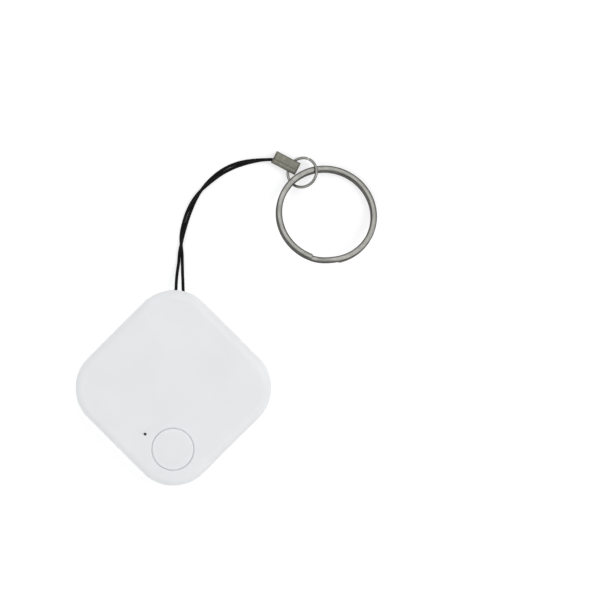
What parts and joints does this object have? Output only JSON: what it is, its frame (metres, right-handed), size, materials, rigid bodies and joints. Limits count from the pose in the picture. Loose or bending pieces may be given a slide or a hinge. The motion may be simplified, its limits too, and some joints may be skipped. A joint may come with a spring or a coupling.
{
  "type": "bluetooth tracker tag",
  "caption": "Rounded-square bluetooth tracker tag: two-shell case, press button, coin cell and circuit board, on a twisted cord lanyard with crimp, link ring and split key ring.",
  "frame": {"origin": "centre of the tag's rear face, which lies on the table; the cord, crimp and rings lie on the same table", "axes": "+Z out of the front face, +Y towards the corner the cord leaves by, +X to the right seen from the front"},
  "size_m": [0.074, 0.0822, 0.0092],
  "materials": {
    "shell_plastic": "fine matte",
    "button_plastic": "fine matte",
    "board_laminate": "solder mask",
    "plated_steel": "nickel plated",
    "cell_steel": "nickel plated, spun",
    "black_seal": "soft",
    "spring_brass": "plain",
    "black_moulding": "moulded",
    "chip_epoxy": "moulded epoxy",
    "pale_ceramic": "fired ceramic",
    "clear_lens": "clear",
    "brown_ceramic": "fired ceramic",
    "ferrite": "ferrite",
    "black_cord": "braided",
    "nickel_plate": "nickel plated, worn"
  },
  "bodies": {
    "rear_case": {"rear_shell": "shell_plastic", "circuit_board": "board_laminate", "board_screws": "plated_steel", "battery_can": "cell_steel", "battery_cap": "cell_steel", "battery_grommet": "black_seal", "negative_contact": "spring_brass", "positive_contacts": "spring_brass", "switch_base": "black_moulding", "switch_cover": "plated_steel", "switch_dome": "plated_steel", "radio_chip": "chip_epoxy", "chip_antenna": "pale_ceramic", "main_crystal": "plated_steel", "clock_crystal": "plated_steel", "indicator_led": "clear_lens", "capacitors": "brown_ceramic", "resistors": "chip_epoxy", "boost_inductor": "ferrite", "piezo_plate": "spring_brass", "piezo_ceramic": "pale_ceramic", "piezo_gasket": "black_seal", "buzzer_springs": "spring_brass", "lanyard_cord": "black_cord", "cord_crimp": "nickel_plate"},
    "front_case": {"front_shell": "shell_plastic"},
    "button": {"button_cap": "button_plastic"},
    "plunger": {"switch_plunger": "black_moulding"},
    "link": {"link_ring": "nickel_plate"},
    "key_ring": {"split_ring": "nickel_plate"}
  },
  "joints": [
    {"name": "case_open", "type": "slide", "parent": "rear_case", "child": "front_case", "axis": [0, 0, 1], "range_m": [0, 0.014]},
    {"name": "button_press", "type": "slide", "parent": "front_case", "child": "button", "axis": [0, 0, -1], "range_m": [0, 0.00025], "stiffness_N_per_m": 2000},
    {"name": "plunger_press", "type": "slide", "parent": "rear_case", "child": "plunger", "axis": [0, 0, -1], "range_m": [0, 0.00025], "deforming": ["switch_dome"]},
    {"name": "link_swing", "type": "hinge", "parent": "rear_case", "child": "link", "pos_m": [0.0286, 0.0548, 0.001], "axis": [-0.5299, -0.848, 0], "range_deg": [0, 50]},
    {"name": "key_ring_swing", "type": "hinge", "parent": "link", "child": "key_ring", "pos_m": [0.0335, 0.0518, 0.0024], "axis": [-0.9798, 0, 0.2], "range_deg": [0, 70]}
  ],
  "couplings": [
    {"joint": "plunger_press", "follows": "button_press", "ratio": 1}
  ]
}
